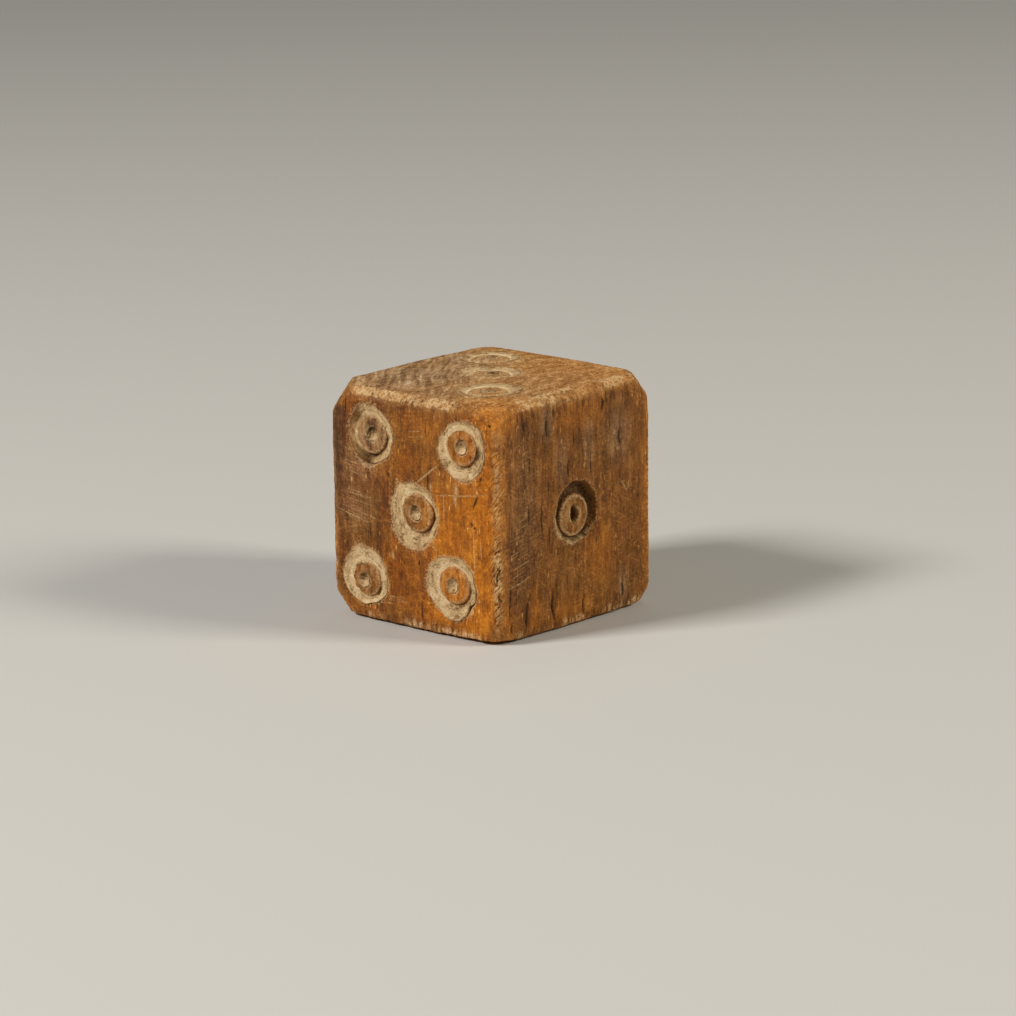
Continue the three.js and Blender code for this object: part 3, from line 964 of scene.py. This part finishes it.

# Where the packing came away from the groove's outer wall: face, number, direction in
# degrees, spread, and the share of the groove's width it left bare
BARE_GROOVES = [
    ("five", 1, 150, 54, 0.26), ("five", 1, -98, 28, 0.36), ("five", 2, 80, 16, 0.25),
    ("five", 5, -38, 14, 0.3), ("two", 2, 30, 40, 0.35), ("four", 1, -60, 50, 0.4),
    ("six", 3, 140, 50, 0.4),
]
# Where it sank: face, number, direction, spread, how much deeper it lies
SUNKEN_GROOVES = [
    ("five", 1, -105, 28, 0.4), ("five", 1, 140, 34, 0.3), ("five", 1, 60, 30, 0.06),
    ("five", 2, -30, 60, 0.08), ("five", 3, -25, 50, 0.1), ("five", 5, -50, 50, 0.1),
    ("six", 1, 60, 60, 0.1),
]
# Where it is brown with grime: face, number, direction, spread, how much
GRIMY_GROOVES = [
    ("five", 1, 155, 70, 0.5), ("five", 1, 240, 50, 0.5), ("five", 2, 60, 30, 0.3),
    ("five", 3, -10, 40, 0.2), ("three", 1, 0, 360, 0.3), ("three", 2, 0, 360, 0.35),
    ("three", 3, 0, 360, 0.35),
]


def round_pip(table, pip, angle):
    """Adds up a table's bumps round one pip."""
    total = np.zeros(len(angle))
    for face, number, direction, spread, size in table:
        if (face, number) == (pip["face"], pip["number"]):
            total += size * bump_at(angle, direction, spread)
    return total


def noise_by(pip, places, size, seed=0.0):
    """Noise at places on a face that is another for each pip."""
    return noise_at(np.column_stack([places, np.full(len(places), pip["seed"])]), size, seed)


def ring_level(pip, across, angle, places, sunk):
    """How far the packing's top is below the face, from island foot to mouth."""
    across = max(across, 0)
    low_side = 0.5 + 0.5 * np.cos(angle - LOW_SIDE)
    slope = (0.09 + 0.17 * low_side) * (1 - across) ** 1.4 + sunk * (1 - 0.5 * across)
    slope *= 1 + 0.5 * noise_by(pip, places, 1.3, 4.0)
    rough = 0.04 * noise_by(pip, places, 0.5) + 0.02 * noise_by(pip, places, 0.17, 2.0)
    return np.maximum(0.04 * (1 - across), 0.015 + slope + rough)


def close_slab(face, name, rows, tops, floors, stains, wraps):
    """A closed skin over a grid of points: a top, a bottom below it and a rim between them."""
    corners = np.concatenate([
        onto_block(face, np.concatenate(rows), np.concatenate(depths)[:, None])
        for depths in (tops, floors)])
    under = len(corners) // 2
    grid = np.arange(under).reshape(len(rows), -1)
    if wraps:
        grid = np.hstack([grid, grid[:, :1]])
    a, b, c, d = grid[:-1, :-1], grid[:-1, 1:], grid[1:, 1:], grid[1:, :-1]
    quads = [np.stack([a, d, c, b], -1), np.stack([a, b, c, d], -1) + under]
    edges = [grid[0], grid[-1, ::-1]]
    if not wraps:
        edges += [grid[::-1, 0], grid[:, -1]]
    for edge in edges:
        a, b = edge[:-1], edge[1:]
        quads.append(np.stack([a, b, b + under, a + under], -1))
    quads = np.concatenate([quad.reshape(-1, 4) for quad in quads])
    mesh = bpy.data.meshes.new(name)
    mesh.from_pydata(((corners + MIDDLE) * MM).tolist(), [], quads.tolist())
    stains = {stain: np.tile(np.concatenate(values), 2) for stain, values in stains.items()}
    return finish_mesh(mesh, stains)


def packed_earth():
    """Dried lime and clay: matt, cream to brown, gritty, with dark specks and pin holes, and
    faint rings left by the finger or tool that pressed it in."""
    masks = ("distance", "turn", "dirt_and_shade", "thin")
    material, tree, surface, mm, masks = start_material("packed_earth", masks)
    patches = lumps(tree, mm, 0.9, 0.36, 0.64, 4)
    stains = lumps(tree, mm, 1.6, 0.5, 0.66, 4)
    grains = lumps(tree, mm, 6.5, 0.33, 0.67, 4)
    specks = lumps(tree, mm, 3.0, 0.61, 0.67)
    turned = overlap(tree, (masks["turn"], 0.35))
    circles = add(tree, "CombineXYZ", (masks["distance"], turned, patches))
    circles = lumps(tree, circles, 5.0, 0.34, 0.66)
    # Its dark mask holds dirt, and also painted shade and light round the islands' feet and in the
    # dots
    tone = build_up(tree, 0.19, (
        (patches, 0.24), (grains, 0.17), (circles, 0.28), (stains, -0.12),
        (masks["dirt_and_shade"], -0.5), (specks, -0.22),
    ))
    stops = ((0, "#33241a"), (0.25, "#8a6a42"), (0.5, "#cdaa7a"), (0.7, "#e0c294"), (1, "#f4e2bc"))
    earth = add(tree, "ValToRGB", (tone,), stops=stops)
    # Brown wood shows through where the packing is thin, darker where dirt lies and where shade is
    # painted
    bared = build_up(tree, masks["thin"], ((grains, 0.5),))
    bared = add(tree, "MapRange", (bared, 0.5, 1.15, 0.0, 0.9))
    brown = add(tree, "MixRGB", (masks["dirt_and_shade"], "#86561f", "#2c1b0d"))
    earth = paint(tree, earth, ((bared, brown),))
    height = build_up(tree, 0.0, ((circles, 0.9), (grains, 1.0), (specks, -1.2)))
    surface.inputs["Roughness"].default_value = 0.95
    finish_surface(tree, surface, earth, height, 0.03, 0.15)
    return material


earth_material = packed_earth()


def finish_packing(pip, kind, layers, angle, wraps):
    """Layers follow each other outwards: places on the face, tops, floors, dirt and painted shade,
    thinness.
    """
    rows, tops, floors, dirt_and_shade, thin = zip(*layers)
    distance = [np.hypot(*(row - pip["island"]).T) for row in rows]
    turn = [angle + pip["seed"]] * len(rows)
    stains = {"distance": distance, "turn": turn, "dirt_and_shade": dirt_and_shade, "thin": thin}
    name = f"{pip['face']}_{kind}_packing_{pip['number']}"
    packing = close_slab(pip["face"], name, rows, tops, floors, stains, wraps)
    packing.data.materials.append(earth_material)
    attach(packing, "root")
    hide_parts(f"{pip['face']}_{kind}_fill_{pip['number']}")


def pack_ring(pip):
    angle = np.arange(FILL_SPOKES) / FILL_SPOKES * math.tau
    bare = round_pip(BARE_GROOVES, pip, angle)
    bare += np.maximum(0, 0.1 * noise_by(pip, spoke(angle) * 1.2, 0.3) - 0.03)
    grime = 0.1 + round_pip(GRIMY_GROOVES, pip, angle)
    sunk = round_pip(SUNKEN_GROOVES, pip, angle)
    patch = noise_by(pip, spoke(angle), 0.5, 7.0)
    # Painted shade at each island's foot, strongest towards the lower right, and painted light on the
    # upper left, where it goes below zero
    foot_shade = 0.85 * np.maximum(0, np.cos(angle - LOW_SIDE)) - 0.3
    layers = []
    for across in RING_ACROSS:
        # It starts inside the island's worn shoulder and ends under the groove's lip
        share = across * (1.04 - bare) if across > 0 else np.full(len(angle), across)
        outward = max(across, 0)
        spots = groove_place(pip, share[:, None], angle)
        top = ring_level(pip, across, angle, spots, sunk)
        top += np.maximum(0, bare - 0.15) * 0.35 * outward ** 4
        floor = np.maximum(top + 0.04, groove_floor(pip, angle) * 0.92)
        foot = foot_shade * math.exp(-(across / 0.2) ** 2)
        # Besides that painted shade, darker where the packing sank and next to a bared outer wall
        dirt_and_shade = np.clip(foot + sunk * (2 - across) + bare * 0.5 * outward ** 3, -0.3, 1)
        edge = max(0.0, (across - 0.6) / 0.4) ** 2
        browned = grime * min(1, 0.3 + outward * 2.5)
        thin = np.clip(browned + 0.4 * patch + edge * 0.45, 0, 1)
        layers.append((spots, top, floor, dirt_and_shade, thin))
    finish_packing(pip, "ring", layers, angle, wraps=True)


def pack_crescent(pip):
    """The one's groove lost its packing but for a low crescent at the lower left."""
    angle = np.linspace(CRESCENT_FROM, CRESCENT_TO, FILL_SPOKES)
    taper = np.sin(np.linspace(0.03, 0.97, FILL_SPOKES) * math.pi) ** 0.6
    layers = []
    for across in RING_ACROSS:
        spots = groove_place(pip, (1 - (1 - across) * 0.75 * taper)[:, None], angle)
        rough = noise_at(np.pad(spots, ((0, 0), (0, 1))), 0.3)
        top = np.maximum(0.01, 0.02 + 0.22 * (1 - across) + 0.02 * rough)
        floor = np.maximum(top + 0.03, groove_floor(pip, angle) * 0.85)
        # Darker towards the island's foot and towards the crescent's tips
        dirt_and_shade = 0.1 + 0.45 * (1 - across) + 0.4 * (1 - taper)
        thin = np.full(FILL_SPOKES, 0.1) + 0.4 * across ** 4
        layers.append((spots, top, floor, dirt_and_shade, thin))
    finish_packing(pip, "ring", layers, angle, wraps=False)


def pack_dot(pip):
    """A dot's packing shrank into a bowl. The five's upper left one sank deeper."""
    angle = np.arange(FILL_SPOKES // 2) / (FILL_SPOKES // 2) * math.tau
    sunk = 0.1 if (pip["face"], pip["number"]) == ("five", 1) else 0.0
    layers = []
    for share in (0.03, 0.25, 0.45, 0.62, 0.78, 0.9, 1.02):
        spots = pip["dot"] + spoke(angle) * DOT_RADIUS * share
        top = 0.05 + sunk + 0.3 * (1 - share ** 2) + 0.06 * noise_by(pip, spots, 0.25)
        floor = np.full(len(angle), DOT_DEPTH * 0.96)
        # Painted shade on each bowl's upper left side; the five's sunken upper left dot is darker all
        # over
        side = np.cos(angle - math.radians(120)) * share
        dirt_and_shade = np.clip(0.05 + 0.45 * side + sunk * 4, 0, 1)
        thin = np.full(len(angle), 0.5 * share ** 4)
        layers.append((spots, top, floor, dirt_and_shade, thin))
    finish_packing(pip, "dot", layers, angle, wraps=True)


for pip in pips:
    if pip["face"] == "one":
        pack_crescent(pip)
    else:
        pack_ring(pip)
        pack_dot(pip)

# The stage: a plain pale floor and soft light, the main lamp high on the left so that the
# islands throw their shade to the lower right.
FLOOR_HALF = 3.0
FLOOR_GAP = 0.04 * MM  # the worn wood bulges almost this far below the block's foot
floor_mesh = bpy.data.meshes.new("floor")
floor_corners = [(FLOOR_HALF * x, FLOOR_HALF * y, 0) for x, y in ((-1, -1), (1, -1), (1, 1), (-1, 1))]
floor_mesh.from_pydata(floor_corners, [], [(0, 1, 2, 3)])
floor = bpy.data.objects.new("floor", floor_mesh)
floor.location.z = -FLOOR_GAP
bpy.context.scene.collection.objects.link(floor)
floor_material = bpy.data.materials.new("pale_paper")
floor_material.use_nodes = True
floor_surface = floor_material.node_tree.nodes["Principled BSDF"]
floor_surface.inputs["Base Color"].default_value = colour("#cbc7bf")
floor_surface.inputs["Roughness"].default_value = 0.8
floor_mesh.materials.append(floor_material)


def add_lamp(name, turn, rise, distance, size, power, tint="#ffffff"):
    """A square lamp that looks at the die, turned round from the five towards the one."""
    lamp = bpy.data.objects.new(name, bpy.data.lights.new(name, "AREA"))
    lamp.data.size = size
    lamp.data.energy = power
    lamp.data.color = colour(tint)[:3]
    back = way_out(math.radians(turn), math.radians(rise))
    lamp.location = die_middle + back * distance
    lamp.rotation_euler = (-back).to_track_quat("-Z", "Y").to_euler()
    bpy.context.scene.collection.objects.link(lamp)


add_lamp("left_lamp", -22, 38, 0.5, 0.12, 2.2)
add_lamp("right_lamp", 115, 30, 0.55, 0.14, 1.95, "#fffcf2")
add_lamp("back_lamp", 215, 60, 0.6, 0.3, 0.2)
world = bpy.data.worlds.new("studio")
world.use_nodes = True
world.node_tree.nodes["Background"].inputs["Color"].default_value = colour("#dedcd8")
world.node_tree.nodes["Background"].inputs["Strength"].default_value = 0.1
bpy.context.scene.world = world
bpy.context.scene.view_settings.view_transform = "Standard"
